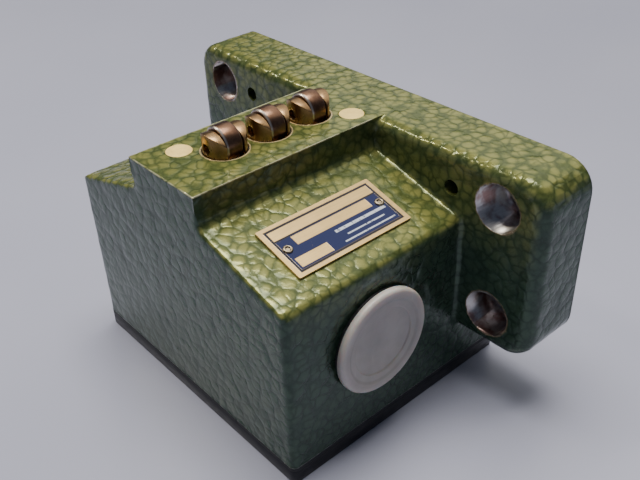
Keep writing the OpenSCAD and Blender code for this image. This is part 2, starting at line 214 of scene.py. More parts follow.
def cleanCopy(node):  # a CAD node's mesh with one vertex a corner and one face a flat
    work = bmesh.new()
    work.from_mesh(nodes[node].data)
    bmesh.ops.remove_doubles(work, verts=work.verts, dist=1e-6)
    bmesh.ops.dissolve_limit(work, angle_limit=0.002, verts=work.verts, edges=work.edges)
    return work


def roundEdges(work, wanted, width, rings=2):
    edges = [edge for edge in work.edges if len(edge.link_faces) == 2 and wanted(edge)]
    bmesh.ops.bevel(work, geom=edges, offset=width, segments=rings, profile=0.5, affect="EDGES",
                    clamp_overlap=True)


def sharper(degrees):
    return lambda edge: edge.calc_face_angle(0) > math.radians(degrees)


def roundCorner(x, z, radius, start, end, steps=4):  # a quarter of a profile's rounding
    turns = [math.radians(start + (end - start) * k / steps) for k in range(steps + 1)]
    return [(x + radius * math.cos(t), z + radius * math.sin(t)) for t in turns]


# profile: pairs of radius and height along the axis, in millimetres. It is a closed loop if it
# doesn't start on the axis.
def lathe(work, profile, centre, axis, sides=96):
    turn = Vector((0, 0, 1)).rotation_difference(Vector(axis)).to_matrix().to_4x4()
    whole = Matrix.Translation(centre) @ turn @ Matrix.Scale(mm, 4)
    rings = []
    for radius, height in profile:
        if radius < 1e-6:
            rings.append([work.verts.new(whole @ Vector((0, 0, height)))])
            continue
        angles = [2 * math.pi * k / sides for k in range(sides)]
        spots = [Vector((radius * math.cos(a), radius * math.sin(a), height)) for a in angles]
        rings.append([work.verts.new(whole @ spot) for spot in spots])
    closed = profile[0][0] > 1e-6
    pairs = list(zip(rings, rings[1:])) + ([(rings[-1], rings[0])] if closed else [])
    for lower, upper in pairs:
        for k in range(sides):
            n = (k + 1) % sides
            ring = [lower[k % len(lower)], lower[n % len(lower)]]
            ring += [upper[n % len(upper)], upper[k % len(upper)]]
            corners = list(dict.fromkeys(ring))    # three corners at a closed tip
            if len(corners) > 2:
                work.faces.new(corners)
    bmesh.ops.recalc_face_normals(work, faces=work.faces)


def metalFinish(name, look):
    # grain: cells a metre along x, y and z; pits: pits a metre; tarnish: share of dark at most
    material, shader, spot = startFinish(name, {
        "Metallic": look.get("metal", 1.0), "Specular IOR Level": look.get("specular", 0.5)})
    grain = spot.stretched(*look["grain"]).mist(1.0, 4, 0.6)
    stain = spot.mist(260, 5, 0.62)
    tarnish = stain.rise(0.42, 0.70) * look.get("tarnish", 0.6)
    shade = tarnish.blend(look["colour"], look["dark"])
    feed(shader, "Base Color", (grain * 0.35 + 0.82) * shade)
    feed(shader, "Roughness", grain * 0.22 + tarnish * 0.18 + (look["rough"] - 0.10))
    pits = spot.cells(look.get("pits", 2600)).rise(0.05, 0.22)
    feed(shader, "Normal", bump(pits * 0.5 + grain, 0.02 * mm, 0.6))
    return material


metalLooks = {
    "zincSteel": {"colour": (0.58, 0.59, 0.61), "dark": (0.30, 0.30, 0.29), "rough": 0.34,
                  "grain": (2400, 2400, 900)},
    "rivetMetal": {"colour": (0.36, 0.30, 0.21), "dark": (0.14, 0.10, 0.06), "rough": 0.36,
                   "grain": (2600, 2600, 2600)},
    "bareSteel": {"colour": (1.0, 0.75, 0.27), "dark": (0.66, 0.42, 0.14), "rough": 0.44,
                  "grain": (700, 5200, 900), "tarnish": 0.35, "metal": 0.1, "specular": 0.1},
    "carrierSteel": {"colour": (0.55, 0.56, 0.58), "dark": (0.33, 0.33, 0.32), "rough": 0.40,
                     "grain": (300, 3200, 3200)},
    "bushBronze": {"colour": (0.60, 0.42, 0.20), "dark": (0.26, 0.15, 0.07), "rough": 0.36,
                   "grain": (900, 900, 5200), "pits": 3600},
    "plungerSteel": {"colour": (0.40, 0.25, 0.12), "dark": (0.15, 0.08, 0.04), "rough": 0.27,
                     "grain": (900, 5200, 900), "tarnish": 0.55},
    "pinSteel": {"colour": (0.52, 0.38, 0.24), "dark": (0.20, 0.13, 0.08), "rough": 0.34,
                 "grain": (3000, 3000, 3000)},
    "springSteel": {"colour": (0.60, 0.60, 0.61), "dark": (0.34, 0.31, 0.27), "rough": 0.30,
                    "grain": (3200, 3200, 1200)},
    "contactBrass": {"colour": (0.80, 0.58, 0.24), "dark": (0.42, 0.25, 0.09), "rough": 0.30,
                     "grain": (700, 3600, 3600)},
}
finishes = {name: metalFinish(name, look) for name, look in metalLooks.items()}
print("metal finishes written:", len(finishes))


lacquer = {
    "cellScale": 415,                     # cells a metre
    "swirl": 0.0030,                      # how far the cells wander, metres
    "litTopMiddle": (0.262, 0.268, 0.080),    # middle of a cell on upward faces; painted light, drawn lighter and yellower as lit from above
    "litTopRim": (0.108, 0.134, 0.040),    # towards its rim
    "shadedWallMiddle": (0.050, 0.090, 0.058),   # the same on the upright walls; painted shade, drawn darker and bluer than the lit tops
    "shadedWallRim": (0.036, 0.070, 0.048),
    "seam": (0.40, 0.46, 0.40),           # how much colour is left between cells
    "rimWear": (0.50, 0.49, 0.33),        # thin lacquer along the block's upper edges
    "rubbed": (0.24, 0.30, 0.27),         # chips, and the ring round the plug
    "rubRadius": 16.2 * mm,
    "chipScale": 42,                      # chips a metre
    "bare": (0.64, 0.62, 0.61),           # machined metal
    "bareStain": (0.34, 0.22, 0.20),
    "boreRim": (0.42, 0.31, 0.20),        # round the screw pockets
    "boreRing": (0.72, 0.58, 0.30),       # round the plungers
    "relief": 0.12 * mm,                  # height of a cell
}


def hammerLacquer():
    material, shader, spot = startFinish("hammerLacquer", {"IOR": 1.5, "Specular IOR Level": 0.45})
    x, y, z = (spot.axis(name) for name in ("X", "Y", "Z"))
    drift = spot.make("TexNoise", None, {"Vector": spot, "Scale": 240, "Detail": 3}, "Color")
    wander = spot + (drift - 0.5) * lacquer["swirl"]
    cell = {"Vector": wander, "Scale": lacquer["cellScale"], "Smoothness": 0.3, "Randomness": 0.95}
    near = spot.make("TexVoronoi", {"feature": "SMOOTH_F1"}, cell)
    edge = wander.cells(lacquer["cellScale"], "DISTANCE_TO_EDGE", 0.95)
    small = wander.cells(lacquer["cellScale"] * 2.3, "DISTANCE_TO_EDGE", 1.0)
    dome = 1 - (near * near * 1.25).least(1.0)
    broken = spot.mist(260, 3, 0.6).rise(0.36, 0.62)
    seam = edge.rise(0.20, 0.0) * (broken * 0.6 + 0.3)
    fine = small.rise(0.12, 0.0) * (1 - broken) * 0.35
    flow = spot.mist(110, 4, 0.6)
    depth = (dome + (flow - 0.5) * 0.5).rise(0.40, 1.0)
    # painted light and shade: faces turned upward take the lit, yellower colours, upright walls the shaded, bluer
    # ones
    facing = spot.make("TexCoord", out="Normal").axis("Z")
    litFromAbove = (facing + (flow - 0.5) * 0.3).rise(0.10, 0.75)
    litUpperWalls = z.rise(-2 * mm, 16 * mm) * y.rise(bodyFront + 1 * mm, bodyFront + 4 * mm)
    litUpperWalls = litUpperWalls * abs(x).rise(flangeEnd - 1 * mm, flangeEnd - 3 * mm)
    litFromAbove = litFromAbove.most(litUpperWalls * 0.5)     # painted light: the upper walls between flange and body also take the lit top colours
    light = litFromAbove.blend(lacquer["shadedWallMiddle"], lacquer["litTopMiddle"])
    shade = litFromAbove.blend(lacquer["shadedWallRim"], lacquer["litTopRim"])
    line = (seam * 0.8 + fine).least(1.0).blend((1.0, 1.0, 1.0), lacquer["seam"])
    paint = depth.blend(shade, light) * line

    # thin lacquer on the block's upper edges
    sideEdge = abs(abs(x) - blockHalf).rise(0.42 * mm, 0.12 * mm)
    frontEdge = y.rise(bodyFront + 0.42 * mm, bodyFront + 0.12 * mm)
    worn = sideEdge.most(frontEdge) * z.rise(blockTop - 0.42 * mm, blockTop - 0.15 * mm)
    worn = worn * abs(x).rise(blockHalf + 0.2 * mm, blockHalf)
    worn = worn * y.rise(flangeFront - 0.5 * mm, flangeFront - 1.5 * mm)
    worn = worn * spot.mist(420, 3, 0.6).rise(0.30, 0.55)
    paint = (worn * 0.8).blend(paint, lacquer["rimWear"])

    # a faint ring rubbed round the plug, and a few small chips
    across, up = y - entry[1], z - entry[2]
    fromPlug = (across * across + up * up) ** 0.5
    rubbed = abs(fromPlug - lacquer["rubRadius"]).rise(1.0 * mm, 0.2 * mm)
    rubbed = rubbed * x.rise(bodyHalf - 0.8 * mm, bodyHalf - 0.4 * mm)
    rubbed = rubbed * (across + up).rise(4 * mm, 12 * mm) * spot.mist(150, 5, 0.7).rise(0.45, 0.62)
    chips = wander.cells(lacquer["chipScale"]).rise(0.022, 0.014)
    paint = (rubbed * 0.4 + chips * 0.9).least(1.0).blend(paint, lacquer["rubbed"])

    # bare metal: screw pockets, plunger bores, the machined back and underside, and the chamber
    offX, offZ = abs(x) - screwX, abs(z) - screwZ
    fromScrew = (offX * offX + offZ * offZ) ** 0.5
    ragged = (spot.mist(900, 3, 0.6) - 0.5) * 0.9 * mm
    inScrew = (fromScrew + ragged).rise(counterbore + 0.35 * mm, counterbore + 0.15 * mm)
    rim = (fromScrew + ragged).rise(counterbore + 0.60 * mm, counterbore + 0.40 * mm)
    paint = (rim * 0.6).blend(paint, lacquer["boreRim"])
    bores = None
    for i in stations:
        offY = y - plungerAt[i].y
        ring = ((x * x + offY * offY) ** 0.5).rise(boreEdge + 0.06 * mm, boreEdge + 0.01 * mm)
        bores = ring if bores is None else bores.most(ring)
    back = y.rise(-0.12 * mm, -0.05 * mm)
    under = z.rise(castLow.z + 0.05 * mm, castLow.z + 0.01 * mm)
    soft = 0.1 * mm
    inside = abs(x).rise(chamber["half"] + soft, chamber["half"] - soft)
    inside = inside * y.rise(chamber["back"] + soft, chamber["back"] - soft)
    inside = inside * y.rise(chamber["front"] - soft, chamber["front"] + soft)
    inside = inside * z.rise(chamber["top"] + soft, chamber["top"] - soft)
    bare = inScrew.most(bores).most(back).most(under).most(inside)

    turned = spot.stretched(3000, 400, 3000).mist(1.0, 3, 0.6)
    milled = spot.stretched(35, 900, 2600).mist(1.0, 4, 0.6)
    tool = back.blend(turned, milled * 0.7 + spot.mist(45, 3, 0.5) * 0.3)
    stain = spot.mist(190, 3, 0.6).rise(0.40, 0.62) * (inScrew * (1 - back) * 0.9 + 0.1)
    metalColour = (tool * 0.5 + 0.65) * stain.blend(lacquer["bare"], lacquer["bareStain"])
    ringLight = bores * z.rise(blockTop - 0.8 * mm, blockTop - 0.5 * mm)
    metalColour = ringLight.blend(metalColour, lacquer["boreRing"])
    feed(shader, "Base Color", bare.blend(paint, metalColour))
    feed(shader, "Metallic", bare.blend(dome * 0.15 + 0.20, 1 - ringLight * 0.4))
    feed(shader, "Roughness", bare.blend(0.24 - dome * 0.06, tool * 0.2 + 0.24))
    heights = (dome - seam * 0.15 - fine * 0.12 + spot.mist(800, 3, 0.5) * 0.10) * (1 - bare)
    normal = bump(heights, lacquer["relief"])
    feed(shader, "Normal", bump(tool * bare, 0.02 * mm, 0.5, normal))
    return material


casting = {
    "step": 0.8 * mm,                     # spacing of the cuts that let the skin be worked
    "relaxRounds": 9,
    "lumpHeight": 0.16 * mm,
    "lumpSize": 3.4 * mm,
    "rimRounding": 0.3 * mm,
    "edgeStrip": 1.7 * mm,                # how far in from the body's sides and front the skin reaches
    "endStrip": 7.1 * mm,                 # and in from the flange's ends
    "longStrip": 4.1 * mm,                # and from its long edges
}


def shoulderZ(x):
    return blockTop - slopeDrop - (x - blockHalf) * math.tan(slopeAngle)


def isSkin(face):  # an outer wall of the casting, not its chamber, bores, back or underside
    x, y, z = face.calc_center_median()
    if y > -0.05 * mm or z < castLow.z + 0.05 * mm:
        return False
    if abs(x) > bodyHalf + 0.2 * mm or y > flangeFront + 0.2 * mm:
        fromScrew = math.hypot(abs(x) - screwX, abs(z) - screwZ)
        onEnd = abs(x) > flangeEnd - casting["endStrip"]
        onLong = abs(z) > blockTop - casting["longStrip"]
        return onEnd or onLong or (y < flangeFront + 0.1 * mm and fromScrew > counterbore)
    onSide = abs(x) > bodyHalf - casting["edgeStrip"] and z < shoulderZ(bodyHalf) + 2 * mm
    onFront = y < bodyFront + casting["edgeStrip"]
    onTop = z > blockTop - 0.05 * mm
    onWall = abs(abs(x) - blockHalf) < 0.1 * mm and z > blockTop - 8 * mm
    onSlope = abs(x) > blockHalf - 0.1 * mm and z > shoulderZ(abs(x)) - 1.2 * mm
    return onSide or onFront or onTop or onWall or onSlope


def slicePlanes(work, faces, axis, planes):  # halves the stack of planes each time
    if not planes or not faces:
        return
    middle = len(planes) // 2
    spot, normal = Vector((0, 0, 0)), Vector((0, 0, 0))
    spot[axis], normal[axis] = planes[middle], 1
    verts = list({vert for face in faces for vert in face.verts})
    edges = list({edge for face in faces for edge in face.edges})
    made = bmesh.ops.bisect_plane(work, geom=verts + edges + faces, dist=1e-6,
                                  plane_co=spot, plane_no=normal)
    cut = [item for item in made["geom"] if isinstance(item, bmesh.types.BMFace)]
    low = [face for face in cut if face.calc_center_median()[axis] < planes[middle]]
    high = [face for face in cut if face.calc_center_median()[axis] >= planes[middle]]
    slicePlanes(work, low, axis, planes[:middle])
    slicePlanes(work, high, axis, planes[middle + 1:])


def ramp(values, start, end):  # smooth step on an array
    share = np.clip((values - start) / (end - start), 0, 1)
    return share * share * (3 - 2 * share)


def relax(points, edges, weight, rounds):
    degree = np.maximum(np.bincount(edges.ravel(), minlength=len(points)), 1)[:, None]
    for _ in range(rounds):
        total = np.zeros_like(points)
        np.add.at(total, edges[:, 0], points[edges[:, 1]])
        np.add.at(total, edges[:, 1], points[edges[:, 0]])
        points += weight[:, None] * (total / degree - points)
    return points


def onBlockRim(edge):  # the raised block's upper edges, where the lacquer is thin and sharp
    ends = [vert.co for vert in edge.verts]
    onTop = all(end.z > blockTop - 0.01 * mm for end in ends)
    onSide = all(abs(abs(end.x) - blockHalf) < 0.01 * mm and end.y < flangeFront for end in ends)
    onFront = all(end.y < bodyFront + 0.01 * mm and abs(end.x) < blockHalf + 0.01 * mm for end in ends)
    return onTop and (onSide or onFront)


def castingSkin():
    work = cleanCopy("housing")
    roundEdges(work, onBlockRim, casting["rimRounding"], 2)
    for axis in range(3):
        skin = [face for face in work.faces if isSkin(face)]
        count = int((castHigh[axis] - castLow[axis]) / casting["step"])
        gap = (castHigh[axis] - castLow[axis]) / count
        planes = [castLow[axis] + gap * (k + 0.5) for k in range(count)]
        slicePlanes(work, skin, axis, planes)
    print("casting sliced into", len(work.faces), "faces")
    work.verts.ensure_lookup_table()
    onSkin = np.zeros(len(work.verts), bool)
    work.verts.index_update()
    for face in work.faces:
        if isSkin(face):
            for vert in face.verts:
                onSkin[vert.index] = True
    for face in work.faces:
        if not isSkin(face):
            for vert in face.verts:
                onSkin[vert.index] = False
    points = np.array([vert.co for vert in work.verts])
    normals = np.array([vert.normal for vert in work.verts])
    edges = np.array([[edge.verts[0].index, edge.verts[1].index] for edge in work.edges])

    x, y, z = np.abs(points[:, 0]), points[:, 1], points[:, 2]
    slope = shoulderZ(x)
    onBlock = ramp(x, blockHalf + 0.6 * mm, blockHalf + 0.2 * mm)
    onBlock = onBlock * ramp(z, slope + 1 * mm, slope + 4 * mm)
    front = ramp(y, bodyFront + 2.6 * mm, bodyFront + 1.2 * mm) * (1 - onBlock)
    outside = np.maximum(np.maximum(x - bodyHalf, np.where(x > blockHalf, z - slope, -1)), 0)
    fromRoot = np.hypot(outside, y - flangeFront)
    root = ramp(fromRoot, 2.6 * mm, 1.0 * mm) * ramp(z, blockTop - 0.4 * mm, blockTop - 1.5 * mm)
    rim = np.where(x > bodyHalf - 1 * mm, ramp(y, flangeFront + 6 * mm, flangeFront + 4 * mm), 0) * 0.3
    weight = np.maximum(np.maximum(front, root), rim) * 0.55 * onSkin
    points = relax(points, edges, weight, casting["relaxRounds"])

    # the lacquer's own swells, only ever inwards
    calm = ramp(np.abs(z - blockTop), 0.0, 0.5 * mm) * 0.6 + 0.4
    for k in np.flatnonzero(onSkin):
        spot = Vector(points[k]) / casting["lumpSize"]
        swell = 0.5 + 0.5 * lumps.noise(spot) + 0.25 * lumps.noise(spot * 2.3)
        points[k] -= normals[k] * casting["lumpHeight"] * calm[k] * min(max(swell, 0), 1)
    for vert, point in zip(work.verts, points):
        vert.co = point
    bmesh.ops.remove_doubles(work, verts=work.verts, dist=0.02 * mm)
    return objectFrom("housingCasting", work, 40)


finishes["hammerLacquer"] = hammerLacquer()
shell = castingSkin()
place(shell, finishes["hammerLacquer"], "housing", "hammer_lacquer", "housing")
print("casting made")


base = {
    "coverRounding": 0.5 * mm, "gasketRounding": 0.2 * mm,
    "enamel": (0.007, 0.007, 0.011), "dust": (0.04, 0.04, 0.05),
    "rubber": (0.010, 0.010, 0.012), "bloom": (0.030, 0.030, 0.034),
}


def blackEnamel():
    material, shader, spot = startFinish("blackEnamel", {
        "Coat Weight": 0.1, "Coat Roughness": 0.15, "Specular IOR Level": 0.3})
    scuff = spot.stretched(60, 60, 500).mist(6, 5, 0.65)
    dust = spot.mist(300, 5, 0.7).rise(0.45, 0.8)
    feed(shader, "Base Color", (dust * 0.5).blend(base["enamel"], base["dust"]))
    feed(shader, "Roughness", scuff.rise(0.3, 0.75) * 0.25 + 0.28)
    feed(shader, "Normal", bump(spot.mist(420, 3, 0.5), 0.05 * mm, 0.5))
    return material


def blackRubber():
    material, shader, spot = startFinish("blackRubber", {"IOR": 1.45})
    bloom = spot.mist(380, 4, 0.65).rise(0.35, 0.75)
    feed(shader, "Base Color", bloom.blend(base["rubber"], base["bloom"]))
    feed(shader, "Roughness", bloom * 0.2 + 0.55)
    feed(shader, "Normal", bump(spot.mist(2400, 3, 0.6), 0.03 * mm, 0.6))
    return material


finishes["blackEnamel"] = blackEnamel()
finishes["blackRubber"] = blackRubber()

work = cleanCopy("bottom_cover")
roundEdges(work, sharper(50), base["coverRounding"])
cover = objectFrom("bottomCover", work, 30)
place(cover, finishes["blackEnamel"], "housing", "black_enamel", "bottom_cover")
work = cleanCopy("cover_gasket")
roundEdges(work, sharper(50), base["gasketRounding"])
gasket = objectFrom("coverGasket", work, 30)
place(gasket, finishes["blackRubber"], "housing", "black_rubber", "cover_gasket")
print("base made")


plate = {
    "length": 31.7, "width": 14.5, "thickness": 0.5, "cornerRadius": 0.3,   # millimetres
    "frameInset": 0.05, "frameLine": 0.038,                                 # shares of the length
    "metal": (0.60, 0.415, 0.170), "blue": (0.002, 0.010, 0.075), "ink": (0.010, 0.010, 0.022),
    "white": (0.62, 0.66, 0.74), "wornMetal": (0.55, 0.42, 0.27),
}
plateLow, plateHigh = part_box("nameplate")
plateCentre = (plateLow + plateHigh) / 2
# x down the slope, y along the body's side, z out of the shoulder
plateFrame = Matrix.Translation(plateCentre) @ Matrix.Rotation(slopeAngle, 4, "Y")


def nameplateFinish():
    material, shader, spot = startFinish("nameplatePrint", {"IOR": 1.5})
    local = plateFrame.inverted().to_euler()
    offset = plateFrame.inverted().translation
    flat = spot.make("Mapping", None, {"Vector": spot, "Location": offset, "Rotation": local})
    u = flat.axis("Y") / (plate["length"] * mm) + 0.5
    v = flat.axis("X") / (plate["width"] * mm) + 0.5

    def field(u0, u1, v0, v1, soft=0.003):  # 1 inside a printed box
        across = u.rise(u0 - soft, u0 + soft) * u.rise(u1 + soft, u1 - soft)
        return across * v.rise(v0 - 2 * soft, v0 + 2 * soft) * v.rise(v1 + 2 * soft, v1 - 2 * soft)

    line = plate["frameLine"] * 0.5
    left = plate["frameInset"] * 0.75
    low = plate["frameInset"] * plate["length"] / plate["width"] * 0.62
    whole = field(left, 1 - left, low, 1 - low)
    within = field(left + line, 1 - left - line, low + line * 2, 1 - low - line * 2)
    rowOne = field(left + line, 1 - left - line, low + line * 2, 0.285)
    rowTwo = field(0.175, 0.845, 0.325, 0.50)
    stampBox = field(0.075, 0.345, 0.685, 0.865)
    underline = field(left, 1 - left, 0.285, 0.312)
    plain = rowOne.most(rowTwo).most(stampBox)
    blue = within * (1 - plain)
    ink = (whole * (1 - within)).most(underline)
    bars = field(0.46, 0.92, 0.575, 0.625).most(field(0.52, 0.86, 0.715, 0.740))
    bars = bars.most(field(0.46, 0.92, 0.815, 0.840))
    speckle = spot.mist(1500, 4, 0.7).rise(0.34, 0.46)
    wear = spot.mist(500, 5, 0.7).rise(0.66, 0.76)

    brush = flat.stretched(2500, 160, 1000).mist(1.0, 4, 0.65)
    dull = spot.mist(140, 3, 0.5)
    metal = (brush * 0.4 + dull * 0.35 + 0.62) * wear.blend(plate["metal"], plate["wornMetal"])
    colour = (blue * (1 - wear * 0.5)).blend(metal, plate["blue"])
    colour = ink.blend(colour, plate["ink"])
    colour = (bars * speckle * blue).blend(colour, plate["white"])
    printed = blue.most(ink)
    feed(shader, "Base Color", colour)
    feed(shader, "Metallic", 0.6 - printed * 0.55)
    feed(shader, "Roughness", printed.blend(brush * 0.25 + 0.30, 0.13))
    height = printed * 0.6 + spot.mist(170, 2, 0.4) * 1.2 + brush * 0.15
    feed(shader, "Normal", bump(height, 0.05 * mm))
    return material


def nameplateSheet():
    work = bmesh.new()
    halfX, halfY, r = plate["width"] / 2, plate["length"] / 2, plate["cornerRadius"]
    outline = [spot for sx, sy, start in ((1, 1, 0), (-1, 1, 90), (-1, -1, 180), (1, -1, 270))
               for spot in roundCorner(sx * (halfX - r), sy * (halfY - r), r, start, start + 90)]
    levels = (-plate["thickness"] / 2, plate["thickness"] / 2)
    rings = [[work.verts.new(plateFrame @ (Vector((x, y, level)) * mm)) for x, y in outline]
             for level in levels]
    count = len(outline)
    for k in range(count):
        work.faces.new([rings[0][k], rings[0][(k + 1) % count], rings[1][(k + 1) % count], rings[1][k]])
    work.faces.new(rings[1])
    work.faces.new(rings[0][::-1])
    roundEdges(work, lambda edge: edge.calc_face_angle(0) > 1.2, 0.12 * mm)
    return objectFrom("nameplateSheet", work, 30)


finishes["nameplate"] = nameplateFinish()
place(nameplateSheet(), finishes["nameplate"], "housing", "nameplate", "nameplate")

# millimetres
rivet = {"spread": 13.0, "headRadius": 1.1, "headHeight": 0.42, "hollow": 0.5, "depth": 0.32}
work = bmesh.new()
for side in (-1, 1):
    seat = plateFrame @ (Vector((0, side * rivet["spread"], plate["thickness"] / 2)) * mm)
    out = plateFrame.to_3x3() @ Vector((0, 0, 1))
    top, outer = rivet["headHeight"], rivet["headRadius"]
    profile = [(0, top - rivet["depth"]), (rivet["hollow"] - 0.08, top - rivet["depth"])]
    profile += [(rivet["hollow"], top - rivet["depth"] + 0.08), (rivet["hollow"] + 0.06, top - 0.1)]
    profile += roundCorner(outer - 0.35, top - 0.35, 0.35, 100, 0, 5) + [(outer, 0.0), (0, 0.0)]
    lathe(work, profile, seat, out, 48)
rivets = objectFrom("plateRivets", work, 40)
place(rivets, finishes["rivetMetal"], "housing", "rivet_metal", "nameplate_rivets")
print("nameplate made")


plug = {                                                      # millimetres
    "radius": 12.75, "seal": 0.8, "rim": 2.5, "step": 2.1, "dish": 1.7,
    "shank": 9.97, "bore": 8.0, "depth": 6.0,
    "dark": (0.43, 0.395, 0.365), "light": (0.50, 0.46, 0.43), "scuff": (0.66, 0.63, 0.61),
}


def greyPolymer():
    material, shader, spot = startFinish("greyPolymer", {
        "IOR": 1.5, "Subsurface Weight": 0.25, "Subsurface Scale": 0.004})
    haze = spot.mist(170, 4, 0.6)
    scuff = spot.stretched(1, 900, 120).mist(1.0, 4, 0.7).rise(0.62, 0.75)
    across, up = spot.axis("Y") - entry[1], spot.axis("Z") - entry[2]
    radial = (across * across + up * up) ** 0.5
    rim = radial.rise((plug["radius"] - 1.9) * mm, (plug["radius"] - 0.6) * mm)    # painted light: the thin rim is drawn lighter, standing in for light shining through it
    # painted shade: darker along the groove in the plug's face
    grooveShade = abs(radial - (plug["radius"] - 2.6) * mm).rise(0.5 * mm, 0.1 * mm)
    body = haze.rise(0.3, 0.7).blend(plug["dark"], plug["light"])
    body = (scuff * 0.5).blend(body, plug["scuff"])
    feed(shader, "Base Color", (rim * 0.22 - grooveShade * 0.14 + 0.98) * body)
    feed(shader, "Roughness", haze * 0.2 + scuff * 0.15 + 0.28)
    feed(shader, "Normal", bump(spot.mist(1300, 3, 0.5) + scuff * 0.5, 0.02 * mm, 0.5))
    return material


finishes["greyPolymer"] = greyPolymer()
work = bmesh.new()
outer = plug["radius"]
profile = [(0, -1.0), (plug["bore"], -1.0)]
profile += [(plug["bore"], -plug["depth"]), (plug["shank"], -plug["depth"])]
profile += [(plug["shank"], plug["seal"]), (outer - 0.25, plug["seal"])]
profile += roundCorner(outer - 0.25, plug["seal"] + 0.25, 0.25, -90, 0, 3)
profile += roundCorner(outer - 0.85, plug["rim"] - 0.85, 0.85, 0, 90, 6)
profile += [(outer - 2.0, plug["rim"]), (outer - 2.35, plug["rim"] - 0.08)]
profile += [(outer - 2.75, plug["step"] + 0.06)]
profile += [(outer - 3.0, plug["step"]), (outer - 4.1, plug["step"])]
profile += [(outer - 4.3, plug["step"] - 0.07)]
profile += [(outer - 4.5, plug["dish"] + 0.05), (outer - 4.8, plug["dish"]), (1.2, plug["dish"])]
profile += [(1.0, plug["dish"] - 0.06), (0, plug["dish"] - 0.06)]
lathe(work, profile, entry, (1, 0, 0), 128)
cap = objectFrom("blankingPlug", work, 25)
place(cap, finishes["greyPolymer"], "housing", "grey_polymer", "blanking_plug")

setPin = {"radius": 2.99, "edge": 0.15, "length": 11.9}       # millimetres
pinLow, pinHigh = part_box("locating_pins")
work = bmesh.new()
for side in (-1, 1):
    radius, edge = setPin["radius"], setPin["edge"]
    corner, inward = pinHigh if side > 0 else pinLow, -side * radius * mm
    seat = Vector((corner.x + inward, corner.y + inward, blockTop))
    profile = [(0, -setPin["length"]), (radius, -setPin["length"])]
    profile += roundCorner(radius - edge, -edge, edge, 0, 90, 3) + [(radius * 0.5, -0.01), (0, 0.0)]
    lathe(work, profile, seat, (0, 0, 1), 64)
setPins = objectFrom("locatingPins", work, 35)
place(setPins, finishes["bareSteel"], "housing", "bare_steel", "locating_pins")
print("plug and block pins made")


roller = {
    "radius": 4.29, "width": 4.2, "chamfer": 0.4, "bore": 1.3,                   # millimetres
    # edge: colour of a painted highlight along the roller's chamfers
    "colour": (0.24, 0.135, 0.085), "dark": (0.10, 0.05, 0.035), "edge": (0.78, 0.72, 0.66),
}
fork = {"rounding": 0.3 * mm}
axle = {"radius": 1.24, "chamfer": 0.25, "tip": 0.45}                            # millimetres
spring = {"radius": 3.2, "wire": 0.35, "turns": 6, "steps": 24, "sides": 10, "closer": 0.045}


def rollerFinish():
    material, shader, spot = startFinish("rollerSteelEdgeHighlight", {"Metallic": 1.0})
    x, y, z = (spot.axis(name) for name in ("X", "Y", "Z"))
    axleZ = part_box("roller_1")[0].z + roller["radius"] * mm
    offZ = z - axleZ
    radial = (x * x + offZ * offZ) ** 0.5
    side = None
    for i in stations:
        away = abs(y - plungerAt[i].y)
        side = away if side is None else side.least(away)
    half = roller["width"] / 2 * mm
    # painted highlight: a light band along both chamfers of each roller
    chamferHighlight = side.rise(half - 0.5 * mm, half - 0.15 * mm) * radial.rise(3.6 * mm, 3.95 * mm)
    turned = spot.stretched(900, 6500, 900).mist(1.0, 3, 0.6)
    stain = spot.mist(330, 5, 0.65).rise(0.4, 0.72)
    colour = (turned * 0.4 + 0.8) * stain.blend(roller["colour"], roller["dark"])
    feed(shader, "Base Color", (chamferHighlight * 0.8).blend(colour, roller["edge"]))
    feed(shader, "Roughness", turned * 0.16 + stain * 0.1 + 0.22)
    feed(shader, "Normal", bump(turned, 0.012 * mm, 0.6))
    return material


finishes["rollerSteelEdgeHighlight"] = rollerFinish()


def coilSpring(name, centre, bottom, top):
    work = bmesh.new()
    count = spring["turns"] * spring["steps"]
    wire, radius = spring["wire"] * mm, spring["radius"] * mm
    rings = []
    for k in range(count + 1):
        share = k / count
        ease = share - spring["closer"] * math.sin(2 * math.pi * share)   # the end turns lie closer
        angle = 2 * math.pi * k / spring["steps"]
        out = Vector((math.cos(angle), math.sin(angle), 0))
        middle = Vector((centre.x, centre.y, bottom + (top - bottom) * ease)) + out * radius
        spots = [2 * math.pi * s / spring["sides"] for s in range(spring["sides"])]
        rings.append([work.verts.new(middle + (out * math.cos(a) + Vector((0, 0, math.sin(a)))) * wire)
                      for a in spots])
    for lower, upper in zip(rings, rings[1:]):
        for s in range(spring["sides"]):
            n = (s + 1) % spring["sides"]
            work.faces.new([lower[s], upper[s], upper[n], lower[n]])
    work.faces.new(rings[0])
    work.faces.new(rings[-1][::-1])
    bmesh.ops.recalc_face_normals(work, faces=work.faces)
    return objectFrom(name, work, 50)


